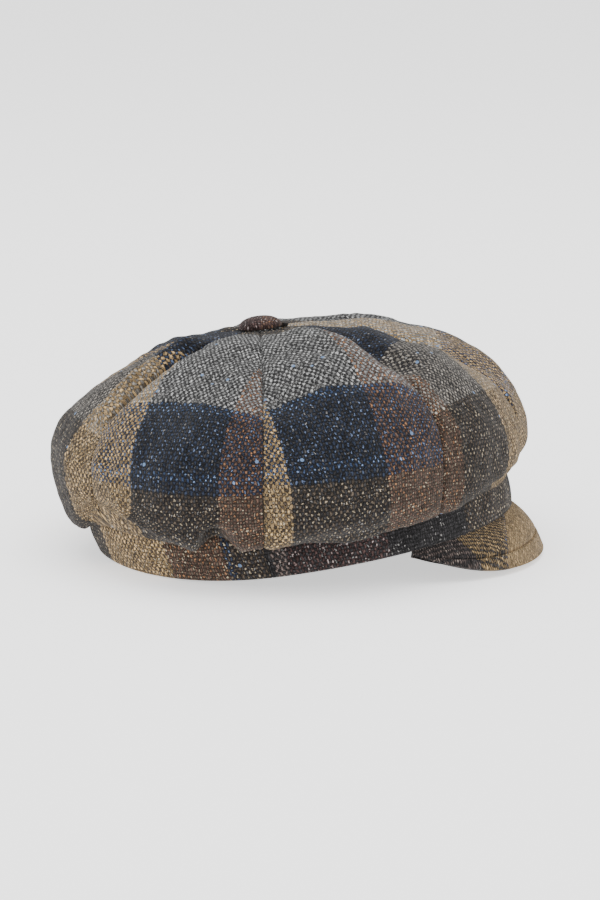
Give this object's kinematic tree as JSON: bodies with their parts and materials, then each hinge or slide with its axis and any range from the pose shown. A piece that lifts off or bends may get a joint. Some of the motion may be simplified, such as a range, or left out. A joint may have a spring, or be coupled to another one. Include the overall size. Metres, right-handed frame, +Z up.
{
  "type": "baker boy cap",
  "caption": "Soft wool baker boy cap with puffed gores meeting at a covered button, a cloth band and a short steep peak, resting on a surface",
  "frame": {"origin": "centre of the cap's footprint, on the surface that it rests on", "axes": "+Z up, the cap faces -Y, the wearer's left is +X"},
  "size_m": [0.2238, 0.2346, 0.1118],
  "materials": {
    "crown_wool": "rough plaid wool tweed in charcoal, navy, beige, brown and grey with slubs and flecks",
    "band_wool": "the same plaid wool tweed, in a straight strip",
    "peak_wool": "the same plaid wool tweed over a stiff board, topstitched near its edge",
    "button_wool": "brown wool tweed stretched over a button"
  },
  "bodies": {
    "root": {"gore_1": "crown_wool", "gore_2": "crown_wool", "gore_3": "crown_wool", "gore_4": "crown_wool", "gore_5": "crown_wool", "gore_6": "crown_wool", "gore_7": "crown_wool", "gore_8": "crown_wool", "band_front": "band_wool", "band_back": "band_wool", "peak": "peak_wool", "button": "button_wool"}
  },
  "joints": []
}
